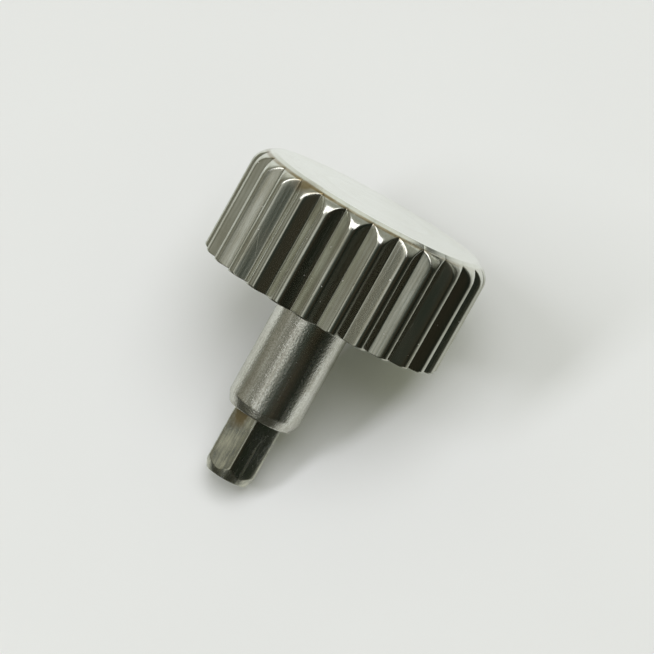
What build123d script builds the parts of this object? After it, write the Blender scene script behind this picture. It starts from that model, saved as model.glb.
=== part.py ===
from build123d import *

import os
from math import cos, hypot, pi, radians, sin, sqrt, tan

# Spring-loaded screw-down watch crown, in millimetres and degrees.
# The crown's axis is the X axis: the outer face looks along +X and the drive post points along -X.
# The origin is on that axis, in the plane of the head's underside rim, and +Z is up.

# Head: a fluted disc with a rounded shoulder and a slightly domed outer face
HEAD_DIAMETER = 7.00
HEAD_HEIGHT = 3.13
RIM_CHAMFER = 0.05
SHOULDER_DROP = 0.54
SHOULDER_WIDTH = 0.29
FACE_BEVEL_HEIGHT = 0.09
FACE_BEVEL_WIDTH = 0.14
FACE_DOME = 0.03

# Flutes: straight V grooves that run the whole height and out through the shoulder
FLUTE_COUNT = 26
FLUTE_DEPTH = 0.27
FLUTE_WIDTH_SHARE = 0.74
FLUTE_TURN = 94.4

# Recess under the head: the case-tube thread at its tapping size, with the gasket's undercut at its floor
RIM_WIDTH = 0.94
RECESS_DEPTH = 1.95
RECESS_LEAD = 0.15
UNDERCUT_DEPTH = 0.22
UNDERCUT_HEIGHT = 0.62
SOCKET_DEPTH = 0.60
SOCKET_CHAMFER = 0.06

# Gasket and the washer that holds its inner edge
GASKET_THICKNESS = 0.50
GASKET_INNER_CLEARANCE = 0.02
GASKET_OUTER_CLEARANCE = 0.04
GASKET_CHAMFER = 0.05
WASHER_WIDTH = 0.45
WASHER_THICKNESS = 0.20
WASHER_CHAMFER = 0.04

# Pipe: a thin tube with a collar in the head's socket and a hexagonal guide in its mouth
PIPE_DIAMETER = 2.10
PIPE_REACH = 3.31
PIPE_WALL = 0.18
COLLAR_STEP = 0.25
GUIDE_STEP = 0.05
GUIDE_LENGTH = 0.80
MOUTH_TAPER_LENGTH = 0.28
MOUTH_TAPER_DEPTH = 0.14

# Drive post: a hexagonal bar with a turned tip, a stop flange and a spigot for the spring
POST_REACH = 1.846
POST_TAPER_LENGTH = 0.43
POST_TIP_LAND = 0.14
POST_CLEARANCE = 0.01
FLANGE_THICKNESS = 0.35
FLANGE_CLEARANCE = 0.01
STOP_GAP = 0.01
SPIGOT_CLEARANCE = 0.09
SPIGOT_LENGTH = 0.40
SPIGOT_CHAMFER = 0.08

# Tapped hole in the post's tip for the winding stem, at its tapping size
STEM_HOLE_DIAMETER = 0.72
STEM_HOLE_DEPTH = 2.50
STEM_COUNTERSINK_DEPTH = 0.09
DRILL_POINT_ANGLE = 118.0

# Return spring: an open coil between the post's flange and the floor of the head's socket
SPRING_WIRE_DIAMETER = 0.22
SPRING_BORE_CLEARANCE = 0.06
SPRING_TURNS = 7
SPRING_END_GAP = 0.01
HALF_TURNS = 2 * SPRING_TURNS
WIRE_SIDES = 8

# Cuts run past what they cut by this much
OVERRUN = 0.50

# Places along the axis
face_x = HEAD_HEIGHT
shoulder_x = HEAD_HEIGHT - SHOULDER_DROP
recess_floor_x = RECESS_DEPTH
undercut_x = RECESS_DEPTH - UNDERCUT_HEIGHT
socket_floor_x = RECESS_DEPTH + SOCKET_DEPTH
gasket_x = RECESS_DEPTH - GASKET_THICKNESS
washer_x = gasket_x - WASHER_THICKNESS
pipe_mouth_x = -PIPE_REACH
guide_end_x = pipe_mouth_x + GUIDE_LENGTH
post_tip_x = pipe_mouth_x - POST_REACH
flange_x = guide_end_x + STOP_GAP
spring_seat_x = flange_x + FLANGE_THICKNESS

# Radii that more than one piece uses
head_radius = HEAD_DIAMETER / 2
shoulder_radius = head_radius - SHOULDER_WIDTH
face_radius = shoulder_radius - FACE_BEVEL_WIDTH
thread_radius = head_radius - RIM_WIDTH
undercut_radius = thread_radius + UNDERCUT_DEPTH
pipe_radius = PIPE_DIAMETER / 2
pipe_bore_radius = pipe_radius - PIPE_WALL
collar_radius = pipe_radius + COLLAR_STEP
guide_flat_radius = (pipe_bore_radius - GUIDE_STEP) * cos(radians(30))
post_flat_radius = guide_flat_radius - POST_CLEARANCE
post_corner_radius = post_flat_radius / cos(radians(30))
stem_hole_radius = STEM_HOLE_DIAMETER / 2


def flute_corners():
    """Corners of one V groove's section, its edges drawn on past the head's outer diameter."""
    half_angle = radians(FLUTE_WIDTH_SHARE * 360 / FLUTE_COUNT / 2)
    bottom = head_radius - FLUTE_DEPTH
    rise = head_radius * cos(half_angle) - bottom
    slope = head_radius * sin(half_angle) / rise
    reach = rise + OVERRUN
    return [(bottom, 0), (bottom + reach, slope * reach), (bottom + reach, -slope * reach)]


# The fluted head
with BuildPart() as crown_head:
    with BuildSketch(Plane.XY) as head_section:
        with BuildLine():
            Polyline(
                (RECESS_LEAD, thread_radius),
                (0, thread_radius + RECESS_LEAD),
                (0, head_radius - RIM_CHAMFER),
                (RIM_CHAMFER, head_radius),
                (shoulder_x, head_radius),
            )
            TangentArc(
                (shoulder_x, head_radius),
                (face_x - FACE_BEVEL_HEIGHT, shoulder_radius),
                tangent=(1, 0),
            )
            Line((face_x - FACE_BEVEL_HEIGHT, shoulder_radius), (face_x, face_radius))
            TangentArc((face_x + FACE_DOME, 0), (face_x, face_radius), tangent=(0, 1))
            Polyline(
                (face_x + FACE_DOME, 0),
                (socket_floor_x, 0),
                (socket_floor_x, collar_radius),
                (recess_floor_x + SOCKET_CHAMFER, collar_radius),
                (recess_floor_x, collar_radius + SOCKET_CHAMFER),
                (recess_floor_x, undercut_radius),
                (undercut_x, undercut_radius),
                (undercut_x - UNDERCUT_DEPTH, thread_radius),
                (RECESS_LEAD, thread_radius),
            )
        make_face()
    revolve(axis=Axis.X)
    with BuildSketch(Plane.YZ.offset(-OVERRUN)) as flute_sections:
        with PolarLocations(0, FLUTE_COUNT, start_angle=FLUTE_TURN):
            Polygon(*flute_corners(), align=None)
    extrude(amount=HEAD_HEIGHT + FACE_DOME + 2 * OVERRUN, mode=Mode.SUBTRACT)

# The pipe, with its collar, bore and hexagonal mouth
with BuildPart() as crown_pipe:
    with BuildSketch(Plane.XY) as pipe_section:
        with BuildLine():
            Polyline(
                (pipe_mouth_x, 0),
                (pipe_mouth_x, pipe_radius - MOUTH_TAPER_DEPTH),
                (pipe_mouth_x + MOUTH_TAPER_LENGTH, pipe_radius),
                (washer_x, pipe_radius),
                (washer_x, collar_radius),
                (socket_floor_x - SOCKET_CHAMFER, collar_radius),
                (socket_floor_x, collar_radius - SOCKET_CHAMFER),
                (socket_floor_x, pipe_bore_radius),
                (guide_end_x, pipe_bore_radius),
                (guide_end_x, 0),
                (pipe_mouth_x, 0),
            )
        make_face()
    revolve(axis=Axis.X)
    with BuildSketch(Plane.YZ.offset(pipe_mouth_x - OVERRUN)) as guide_hexagon:
        RegularPolygon(guide_flat_radius, 6, major_radius=False)
    extrude(amount=GUIDE_LENGTH + 2 * OVERRUN, mode=Mode.SUBTRACT)

# The drive post: a turned blank, milled to a hexagon, with its flange and spigot
post_tip_radius = stem_hole_radius + STEM_COUNTERSINK_DEPTH + POST_TIP_LAND
flange_radius = pipe_bore_radius - FLANGE_CLEARANCE
spring_radius = pipe_bore_radius - SPRING_BORE_CLEARANCE - SPRING_WIRE_DIAMETER / 2
spigot_radius = spring_radius - SPRING_WIRE_DIAMETER / 2 - SPIGOT_CLEARANCE
drill_point_length = stem_hole_radius / tan(radians(DRILL_POINT_ANGLE / 2))
hole_floor_x = post_tip_x + STEM_HOLE_DEPTH
with BuildPart() as drive_post:
    with BuildSketch(Plane.XY) as blank_section:
        with BuildLine():
            Polyline(
                (post_tip_x, 0),
                (post_tip_x, post_tip_radius),
                (post_tip_x + POST_TAPER_LENGTH, post_corner_radius),
                (flange_x, post_corner_radius),
                (flange_x, 0),
                (post_tip_x, 0),
            )
        make_face()
    revolve(axis=Axis.X)
    with BuildSketch(Plane.YZ.offset(post_tip_x - OVERRUN)) as post_hexagon:
        RegularPolygon(post_flat_radius, 6, major_radius=False)
    extrude(amount=flange_x - post_tip_x + OVERRUN, mode=Mode.INTERSECT)
    with BuildSketch(Plane.XY) as flange_section:
        with BuildLine():
            Polyline(
                (flange_x, 0),
                (flange_x, flange_radius),
                (spring_seat_x, flange_radius),
                (spring_seat_x, spigot_radius),
                (spring_seat_x + SPIGOT_LENGTH - SPIGOT_CHAMFER, spigot_radius),
                (spring_seat_x + SPIGOT_LENGTH, spigot_radius - SPIGOT_CHAMFER),
                (spring_seat_x + SPIGOT_LENGTH, 0),
                (flange_x, 0),
            )
        make_face()
    revolve(axis=Axis.X)
    with BuildSketch(Plane.XY) as stem_hole_section:
        with BuildLine():
            Polyline(
                (post_tip_x, 0),
                (post_tip_x, stem_hole_radius + STEM_COUNTERSINK_DEPTH),
                (post_tip_x + STEM_COUNTERSINK_DEPTH, stem_hole_radius),
                (hole_floor_x, stem_hole_radius),
                (hole_floor_x + drill_point_length, 0),
                (post_tip_x, 0),
            )
        make_face()
    revolve(axis=Axis.X, mode=Mode.SUBTRACT)

# The return spring, one unbroken wire on a helix, each half turn drawn as two tangent arcs
spring_start_x = spring_seat_x + SPRING_END_GAP + SPRING_WIRE_DIAMETER / 2
spring_end_x = socket_floor_x - SPRING_END_GAP - SPRING_WIRE_DIAMETER / 2
spring_pitch = (spring_end_x - spring_start_x) / SPRING_TURNS


def helix_point(turns):
    """The wire's centre after a number of turns from the post's end."""
    angle = 2 * pi * turns
    return Vector(
        spring_start_x + spring_pitch * turns,
        spring_radius * cos(angle),
        spring_radius * sin(angle),
    )


def helix_direction(turns):
    """The wire's unit direction after a number of turns."""
    angle = 2 * pi * turns
    around = 2 * pi * spring_radius
    return Vector(spring_pitch, -around * sin(angle), around * cos(angle)).normalized()


def biarc_middle(start, start_way, end, end_way):
    """The point where two tangent arcs of equal reach meet, and their shared direction there."""
    span = end - start
    ways = start_way + end_way
    bend = 2 * (1 - start_way.dot(end_way))
    along = span.dot(ways)
    reach = (sqrt(along * along + bend * span.dot(span)) - along) / bend
    left = start + start_way * reach
    right = end - end_way * reach
    return (left + right) * 0.5, (right - left).normalized()


with BuildPart() as return_spring:
    with BuildLine() as spring_line:
        for half_turn in range(HALF_TURNS):
            start = helix_point(half_turn / 2)
            end = helix_point((half_turn + 1) / 2)
            start_way = helix_direction(half_turn / 2)
            end_way = helix_direction((half_turn + 1) / 2)
            middle, middle_way = biarc_middle(start, start_way, end, end_way)
            TangentArc(start, middle, tangent=start_way)
            TangentArc(middle, end, tangent=middle_way)
    with BuildSketch(Plane(origin=helix_point(0), z_dir=helix_direction(0))) as wire_section:
        RegularPolygon(SPRING_WIRE_DIAMETER / 2, WIRE_SIDES)
    sweep()

turn_rise = hypot(2 * pi * spring_radius, spring_pitch)
coil_gap = spring_pitch * 2 * pi * spring_radius / turn_rise - SPRING_WIRE_DIAMETER
print(f"spring: {SPRING_TURNS} turns, pitch {spring_pitch:.3f} mm, gap between turns {coil_gap:.3f} mm")

# The head gasket, a flat ring in the recess
with BuildPart() as head_gasket:
    with BuildSketch(Plane.YZ.offset(gasket_x)) as gasket_ring:
        Circle(undercut_radius - GASKET_OUTER_CLEARANCE)
        Circle(collar_radius + GASKET_INNER_CLEARANCE, mode=Mode.SUBTRACT)
    extrude(amount=GASKET_THICKNESS)
    chamfer(head_gasket.edges().group_by(Axis.X)[0], GASKET_CHAMFER)

# The washer, pressed on the collar until it is flush with the collar's end
with BuildPart() as gasket_washer:
    with BuildSketch(Plane.YZ.offset(washer_x)) as washer_ring:
        Circle(collar_radius + WASHER_WIDTH)
        Circle(collar_radius, mode=Mode.SUBTRACT)
    extrude(amount=WASHER_THICKNESS)
    chamfer(gasket_washer.edges().group_by(Axis.X)[0].sort_by(SortBy.LENGTH)[-1], WASHER_CHAMFER)

# Each finished piece is named and written to a file of its own
os.makedirs("parts", exist_ok=True)
pieces = {
    "crown_head": crown_head,
    "crown_pipe": crown_pipe,
    "drive_post": drive_post,
    "return_spring": return_spring,
    "head_gasket": head_gasket,
    "gasket_washer": gasket_washer,
}
for name, piece in pieces.items():
    piece.part.label = name
    export_step(piece.part, f"parts/{name}.step")
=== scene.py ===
"""Looks of a spring-loaded screw-down watch crown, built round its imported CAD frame.

Lengths in the dataclasses are in millimetres and angles in degrees, as a watch part's drawing
has them. Meshes are in metres, in the frame of the CAD model: X is the crown's axis, the outer
face looks along +X and the drive post points along -X.
"""

from __future__ import annotations

import logging
import math
from dataclasses import dataclass
from enum import Enum
from typing import Any, Iterable

import bpy
import numpy as np
from mathutils import Matrix, Vector

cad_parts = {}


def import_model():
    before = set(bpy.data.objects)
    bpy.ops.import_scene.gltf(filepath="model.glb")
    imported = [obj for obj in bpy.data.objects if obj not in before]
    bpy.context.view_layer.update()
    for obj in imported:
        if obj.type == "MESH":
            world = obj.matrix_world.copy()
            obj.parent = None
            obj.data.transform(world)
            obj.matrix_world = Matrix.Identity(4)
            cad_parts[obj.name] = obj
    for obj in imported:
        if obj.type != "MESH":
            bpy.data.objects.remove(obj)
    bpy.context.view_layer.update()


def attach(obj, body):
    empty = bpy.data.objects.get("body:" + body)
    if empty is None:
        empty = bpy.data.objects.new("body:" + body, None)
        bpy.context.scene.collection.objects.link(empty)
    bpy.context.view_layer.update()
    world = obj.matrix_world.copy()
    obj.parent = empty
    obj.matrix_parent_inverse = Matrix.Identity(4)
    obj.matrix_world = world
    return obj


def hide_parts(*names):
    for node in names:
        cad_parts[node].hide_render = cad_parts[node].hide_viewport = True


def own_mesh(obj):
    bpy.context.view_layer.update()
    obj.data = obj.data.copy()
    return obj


LOG = logging.getLogger("watch_crown")
MM = 0.001
MICROMETRE = 1e-6
AXIS = Vector((1, 0, 0))
COSINE_30 = np.cos(np.pi / 6.0)

Colour = tuple[float, float, float]
Span = tuple[float, float]
Section = tuple[np.ndarray, np.ndarray]


class Slot(Enum):
    """Names of the record's material slots, which the finishes' names match."""

    POLISHED = "polished_steel"
    SATIN = "satin_steel"
    MILLED = "milled_steel"
    SPRING = "spring_steel"
    RUBBER = "black_rubber"


class Body(Enum):
    """Bodies of the CAD model that the pieces ride on."""

    CROWN = "crown"
    POST = "post"


# Surfaces


def soft_minimum(
    first: np.ndarray, second: np.ndarray | float, rounding: np.ndarray | float
) -> np.ndarray:
    """The lower of two surfaces, with the edge where they cross rounded off.

    Formula: half their sum, less half the root of their squared difference plus the rounding
    squared, so the edge sinks by half the rounding and the surfaces stay where they are elsewhere.

    Args:
        first: Radii of one surface.
        second: Radii of the other surface.
        rounding: Size of the rounding, in the unit of the radii.

    Returns:
        The blended radii.
    """
    return 0.5 * (first + second - np.sqrt((first - second) ** 2 + rounding**2))


def smooth_step(value: np.ndarray, low: float, high: float) -> np.ndarray:
    """Rises from 0 at low to 1 at high, as three t squared less two t cubed.

    Args:
        value: Where to work it out.
        low: Where it starts to rise, or to fall if it is above high.
        high: Where it reaches 1.

    Returns:
        The share, from 0 to 1.
    """
    share = np.clip((value - low) / (high - low), 0.0, 1.0)
    return share * share * (3.0 - 2.0 * share)


def even_angles(columns: int) -> np.ndarray:
    """Angles of evenly spaced columns over one turn, in radians."""
    return np.linspace(0.0, 2.0 * np.pi, columns, endpoint=False)


def hexagon_radius(angles: np.ndarray, flat_radius: float, rounding: float) -> np.ndarray:
    """Polar radius of a round-cornered hexagon with flats square to Z and a corner on Y.

    Formula: the flats' radius over the cosine of the angle from the nearest flat's middle, and the
    soft minimum of that with the circle through the corners.

    Args:
        angles: Angles round the axis from +Y, in radians.
        flat_radius: Distance of the flats from the axis.
        rounding: Rounding of the corners.

    Returns:
        The radius at each angle.
    """
    sixth = np.pi / 3.0
    sharp = flat_radius / np.cos(np.mod(angles, sixth) - sixth / 2.0)
    return soft_minimum(sharp, flat_radius / COSINE_30, rounding)


@dataclass(frozen=True)
class InnerThread:
    """A bore with a right-handed inner thread and a lead chamfer at its mouth.

    Groove is the share of the pitch that the groove takes at its crest, and flanks the share that
    its two flanks take. Runout says how far before the bore's end the thread has run out, and from
    how far it is full.
    """

    radius: float
    lead: float
    pitch: float
    depth: float
    runout: Span
    groove: float = 0.82
    flanks: float = 0.66

    def radii(self, x: np.ndarray, angles: np.ndarray, mouth: float, end: float) -> np.ndarray:
        """Radii of the bore, rows by columns.

        Formula: the share of a turn is x over the pitch less the angle over a full turn. Its
        distance from the middle of the groove gives a V with a flat crest and a flat root. The
        lead is a cone of 45 degrees, and the larger radius counts.

        Args:
            x: Places of the rows along the axis.
            angles: Angles of the columns, in radians.
            mouth: Where the bore starts.
            end: Where it ends.

        Returns:
            The radii.
        """
        share = np.mod(x[:, None] / self.pitch - angles[None, :] / (2.0 * np.pi), 1.0)
        inwards = self.groove - np.abs(2.0 * share - 1.0)
        cut = self.depth * np.clip(inwards / self.flanks, 0.0, 1.0)
        fade = smooth_step(x, *(end - length for length in self.runout))
        plain = np.maximum(self.radius, self.radius + self.lead - (x - mouth))
        return np.maximum(plain[:, None], self.radius + cut * fade[:, None])


def profile_rows(points: list[Span], edge: float, longest: float = 0.35) -> Section:
    """Rows of a turned profile whose corners are each rounded with five points.

    Formula: at a corner the line is a parabola from the point one edge length before it to the
    point one edge length after it, which is (1-t) squared, 2t(1-t) and t squared of the three.

    Args:
        points: Corners of the profile, as (x, radius). The first and the last stay sharp.
        edge: Length that is taken off at each side of a corner.
        longest: Largest share of a side that may be taken off.

    Returns:
        The rows' x places and radii.
    """
    corners = np.array(points, float)[:, None]
    middle = corners[1:-1]
    ends = []
    for way in (corners[:-2] - middle, corners[2:] - middle):
        reach = np.linalg.norm(way, axis=2, keepdims=True)
        ends.append(middle + way / reach * np.minimum(edge, longest * reach))
    t = np.linspace(0.0, 1.0, 5)[None, :, None]
    curve = (1 - t) ** 2 * ends[0] + 2 * t * (1 - t) * middle + t**2 * ends[1]
    rows = np.concatenate([corners[0], curve.reshape(-1, 2), corners[-1]])
    return rows[:, 0], rows[:, 1]


def stack_rows(parts: Iterable[np.ndarray], columns: int) -> np.ndarray:
    """Stacks rows that are given once or per column, as rows by columns."""
    wide = np.ones((1, columns))
    return np.concatenate([(part if part.ndim == 2 else part[:, None]) * wide for part in parts])


def new_object(name: str, data: bpy.types.ID) -> bpy.types.Object:
    """Makes an object of a mesh, lamp or camera and links it to the scene."""
    made = bpy.data.objects.new(name, data)
    bpy.context.scene.collection.objects.link(made)
    return made


def surface_mesh(name: str, points: np.ndarray, closed: bool) -> bpy.types.Object:
    """Makes an object of a grid of points whose columns run round and join up.

    The last row joins the first, or else both are poles, where one point closes the row. Each
    vertex gets a normal that is the sum of its faces' normals, weighed by area, so flat faces stay
    flat and narrow roundings shade as bevels. A face's normal is the cross product of its
    diagonals, and a triangle's last side stands in for its second diagonal.

    Args:
        name: Name of the object.
        points: Rows by columns by 3, in millimetres.
        closed: Whether the last row joins the first.

    Returns:
        The object, with smooth faces that look outwards.
    """
    rows, columns = points.shape[:2]
    index = np.arange(rows * columns).reshape(rows, columns)
    if not closed:
        index[[0, -1]] = index[[0, -1], :1]
    upper = index if closed else index[:-1]
    lower = np.roll(index, -1, axis=0) if closed else index[1:]
    quads = np.stack([upper, lower, np.roll(lower, -1, 1), np.roll(upper, -1, 1)], axis=-1)
    quads = quads.reshape(-1, 4)
    at_start, at_end = quads[:, 0] == quads[:, 3], quads[:, 1] == quads[:, 2]
    plain = quads[~at_start & ~at_end]
    poles = np.concatenate([quads[at_start][:, [0, 1, 2]], quads[at_end][:, [0, 1, 3]]])
    used, flat = np.unique(np.concatenate([plain.ravel(), poles.ravel()]), return_inverse=True)
    places = points.reshape(-1, 3)[used] * MM
    starts = np.concatenate([np.arange(0, plain.size, 4), np.arange(plain.size, flat.size, 3)])
    mesh = bpy.data.meshes.new(name)
    mesh.vertices.add(len(places))
    mesh.vertices.foreach_set("co", places.astype(np.float32).ravel())
    mesh.loops.add(flat.size)
    mesh.loops.foreach_set("vertex_index", flat.astype(np.int32))
    mesh.polygons.add(starts.size)
    mesh.polygons.foreach_set("loop_start", starts.astype(np.int32))
    mesh.update(calc_edges=True)
    mesh.validate()
    mesh.polygons.foreach_set("use_smooth", np.ones(starts.size, bool))
    normals = np.zeros_like(places)
    for faces in (flat[: plain.size].reshape(-1, 4), flat[plain.size :].reshape(-1, 3)):
        corners = places[faces]
        normal = np.cross(corners[:, 2] - corners[:, 0], corners[:, -1] - corners[:, 1])
        np.add.at(normals, faces.ravel(), np.repeat(normal, faces.shape[1], axis=0))
    length = np.linalg.norm(normals, axis=1, keepdims=True)
    mesh.normals_split_custom_set_from_vertices(normals / np.maximum(length, np.finfo(float).tiny))
    return new_object(name, mesh)


def turned_mesh(
    name: str, sections: list[Section], angles: np.ndarray, closed: bool
) -> bpy.types.Object:
    """Makes an object of rows of points that run round the axis.

    Formula: a point is at x, radius times cosine of the angle, radius times sine of the angle.

    Args:
        name: Name of the object.
        sections: Rows' x places and radii, each one per row or per row and column.
        angles: Angles of the columns round the axis, in radians.
        closed: Whether the last row joins the first. Otherwise both lie on the axis.

    Returns:
        The object.
    """
    x, radius = (stack_rows(parts, len(angles)) for parts in zip(*sections))
    points = np.stack([x, radius * np.cos(angles), radius * np.sin(angles)], axis=-1)
    return surface_mesh(name, points, closed)


# Node trees


class Sheet:
    """A node tree, with short ways to add nodes to it and wire them."""

    def __init__(self, tree: bpy.types.NodeTree) -> None:
        """Takes the tree that the nodes go in, and empties it."""
        tree.nodes.clear()
        self.tree = tree

    def node(
        self, kind: str, inputs: dict[str | int, Any] | None = None, **settings: Any
    ) -> bpy.types.Node:
        """Adds a node, sets its options and fills or wires its inputs.

        Args:
            kind: The node's type name.
            inputs: Values of its inputs, or the sockets that feed them. Colours have no alpha.
            settings: Options of the node.

        Returns:
            The new node.
        """
        made = self.tree.nodes.new(kind)
        for name, value in settings.items():
            setattr(made, name, value)
        for key, value in (inputs or {}).items():
            socket = made.inputs[key]
            if isinstance(value, bpy.types.NodeSocket):
                self.tree.links.new(value, socket)
            else:
                socket.default_value = (*value, 1.0) if socket.type == "RGBA" else value
        return made

    def math(self, operation: str, *values: Any) -> bpy.types.NodeSocket:
        """Adds a Math node, or a chain of them for three or more values, and returns its result."""
        made = self.node("ShaderNodeMath", dict(enumerate(values[:2])), operation=operation)
        rest = values[2:]
        return self.math(operation, made.outputs[0], *rest) if rest else made.outputs[0]

    def vector(self, operation: str, first: Any, second: Any) -> bpy.types.NodeSocket:
        """Adds a Vector Math node and returns its result, a vector or a number."""
        made = self.node("ShaderNodeVectorMath", {0: first, 1: second}, operation=operation)
        return made.outputs["Value" if operation in ("DISTANCE", "DOT_PRODUCT") else "Vector"]

    def along(self, place: bpy.types.NodeSocket) -> bpy.types.NodeSocket:
        """Adds a Separate XYZ node and returns the place along the crown's axis."""
        return self.node("ShaderNodeSeparateXYZ", {"Vector": place}).outputs["X"]

    def remap(self, value: Any, source: Span, low: float, high: float) -> bpy.types.NodeSocket:
        """Adds a clamped Map Range node from a span of values and returns its result."""
        inputs = {"From Min": source[0], "From Max": source[1], "To Min": low, "To Max": high}
        inputs["Value"] = value
        return self.node("ShaderNodeMapRange", inputs, clamp=True).outputs["Result"]

    def blend(self, share: Any, first: Any, second: Any) -> bpy.types.NodeSocket:
        """Adds a colour Mix node and returns its result."""
        inputs = {0: share, 6: first, 7: second}
        return self.node("ShaderNodeMix", inputs, data_type="RGBA").outputs[2]

    def noise(self, place: Any, scale: float, detail: float) -> bpy.types.NodeSocket:
        """Adds a Noise Texture node and returns its value."""
        inputs = {"Vector": place, "Scale": scale, "Detail": detail}
        return self.node("ShaderNodeTexNoise", inputs).outputs["Fac"]

    def group(self, tree: bpy.types.NodeTree, **inputs: Any) -> bpy.types.NodeOutputs:
        """Places a shared node group and returns its outputs."""
        return self.node("ShaderNodeGroup", inputs, node_tree=tree).outputs

    def ramp(self, value: Any, stops: list[tuple[float, Colour]]) -> bpy.types.NodeSocket:
        """Adds a Color Ramp node with the given stops.

        Args:
            value: The socket that drives it.
            stops: Places from 0 to 1 with their linear colours.

        Returns:
            The ramp's colour.
        """
        made = self.node("ShaderNodeValToRGB", {"Fac": value})
        elements = made.color_ramp.elements
        while len(elements) > 1:
            elements.remove(elements[-1])
        elements[0].position = stops[0][0]
        elements[0].color = (*stops[0][1], 1.0)
        for place, colour in stops[1:]:
            elements.new(place).color = (*colour, 1.0)
        return made.outputs["Color"]


def new_material(name: str) -> tuple[bpy.types.Material, Sheet, bpy.types.NodeSocket]:
    """Starts a material.

    Args:
        name: Its name.

    Returns:
        The material, its sheet and the Object coordinates.
    """
    material = bpy.data.materials.new(name)
    material.use_nodes = True
    sheet = Sheet(material.node_tree)
    return material, sheet, sheet.node("ShaderNodeTexCoord").outputs["Object"]


def coat(
    sheet: Sheet, colour: Any, roughness: Any, metallic: float, relief: Any, depth: float
) -> None:
    """Ends a material in its shader, with relief from a bump.

    Args:
        sheet: The material's sheet.
        colour: Socket of the base colour.
        roughness: Socket of the roughness.
        metallic: 1 for metal and 0 for anything else.
        relief: Socket of the height.
        depth: Depth in micrometres of a height of 1.
    """
    bump = sheet.node(
        "ShaderNodeBump", {"Strength": 1.0, "Distance": depth * MICROMETRE, "Height": relief}
    )
    inputs = {"Base Color": colour, "Roughness": roughness, "Metallic": metallic}
    inputs["Normal"] = bump.outputs[0]
    shader = sheet.node("ShaderNodeBsdfPrincipled", inputs)
    sheet.node("ShaderNodeOutputMaterial", {"Surface": shader.outputs[0]})


class GroupSheet(Sheet):
    """The sheet of a new node group, which takes Place and some numbers and gives numbers."""

    def __init__(self, name: str, gives: list[str], **takes: float) -> None:
        """Makes the group.

        Args:
            name: Its name.
            gives: Names of its outputs.
            takes: Names of its inputs besides Place, with their usual values.
        """
        super().__init__(bpy.data.node_groups.new(name, "ShaderNodeTree"))
        new_socket = self.tree.interface.new_socket
        new_socket(name="Place", in_out="INPUT", socket_type="NodeSocketVector")
        for key, usual in takes.items():
            made = new_socket(name=key, in_out="INPUT", socket_type="NodeSocketFloat")
            made.default_value = usual
        for key in gives:
            new_socket(name=key, in_out="OUTPUT", socket_type="NodeSocketFloat")
        self.given = self.node("NodeGroupInput").outputs

    def give(self, **results: bpy.types.NodeSocket) -> bpy.types.NodeTree:
        """Wires the group's outputs and returns its tree."""
        self.node("NodeGroupOutput", results)
        return self.tree


def turning_group() -> bpy.types.NodeTree:
    """Fine rings that a lathe leaves, from noise on the place along the axis and the radius.

    Returns:
        The group. It takes Place and Fineness and gives Height.
    """
    sheet = GroupSheet("turning_marks", ["Height"], Fineness=40000.0)
    parts = sheet.node("ShaderNodeSeparateXYZ", {"Vector": sheet.given["Place"]}).outputs
    squares = [sheet.math("MULTIPLY", parts[axis], parts[axis]) for axis in "YZ"]
    radius = sheet.math("SQRT", sheet.math("ADD", *squares))
    flat = sheet.node("ShaderNodeCombineXYZ", {"X": parts["X"], "Y": radius}).outputs[0]
    place = sheet.vector("MULTIPLY", flat, sheet.given["Fineness"])
    return sheet.give(Height=sheet.noise(place, 1.0, 3.0))


def grinding_group() -> bpy.types.NodeTree:
    """Fine lines along the axis, as a flute cutter or a broach leaves, from stretched noise.

    Returns:
        The group. It takes Place, Along and Across and gives Height and Scratch.
    """
    sheet = GroupSheet("grinding_marks", ["Height", "Scratch"], Along=400.0, Across=30000.0)
    across = sheet.given["Across"]
    sizes = {"X": sheet.given["Along"], "Y": across, "Z": across}
    stretch = sheet.node("ShaderNodeCombineXYZ", sizes).outputs[0]
    place = sheet.vector("MULTIPLY", sheet.given["Place"], stretch)
    scratch = sheet.remap(sheet.noise(place, 0.35, 1.0), (0.64, 0.72), 0.0, 1.0)
    return sheet.give(Height=sheet.noise(place, 1.0, 4.0), Scratch=scratch)


def handling_group() -> bpy.types.NodeTree:
    """Smudges, hairline scratches, specks and a fine grain that handling leaves on bare metal.

    Smudge is broad noise and Grain is fine noise. Hairline is a thin band round the edges of long
    Voronoi cells, kept where the broad noise is high. Speck is the middle of few, small Voronoi
    cells.

    Returns:
        The group. It takes Place and Size and gives Smudge, Hairline, Speck and Grain.
    """
    sheet = GroupSheet("handling_marks", ["Smudge", "Hairline", "Speck", "Grain"], Size=900.0)
    voronoi = "ShaderNodeTexVoronoi"
    scaled = sheet.vector("MULTIPLY", sheet.given["Place"], sheet.given["Size"])
    broad = sheet.noise(scaled, 1.0, 3.0)
    long_cells = {"Vector": scaled, "Rotation": (0.4, 0.9, 0.3), "Scale": (0.35, 2.2, 2.2)}
    turned = sheet.node("ShaderNodeMapping", long_cells, vector_type="POINT").outputs[0]
    cells = sheet.node(voronoi, {"Vector": turned, "Scale": 1.6}, feature="DISTANCE_TO_EDGE")
    line = sheet.remap(cells.outputs["Distance"], (0.006, 0.02), 1.0, 0.0)
    where = sheet.remap(broad, (0.52, 0.62), 0.0, 1.0)
    dots = sheet.node(voronoi, {"Vector": scaled, "Scale": 9.0}, feature="F1").outputs
    chance = sheet.node("ShaderNodeSeparateColor", {"Color": dots["Color"]}).outputs[0]
    kept = sheet.math("GREATER_THAN", chance, 0.95)
    return sheet.give(
        Smudge=sheet.remap(broad, (0.35, 0.68), 0.0, 1.0),
        Hairline=sheet.math("MULTIPLY", line, where),
        Speck=sheet.math("MULTIPLY", sheet.remap(dots["Distance"], (0.08, 0.16), 1.0, 0.0), kept),
        Grain=sheet.noise(sheet.given["Place"], 20000.0, 1.5),
    )


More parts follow.
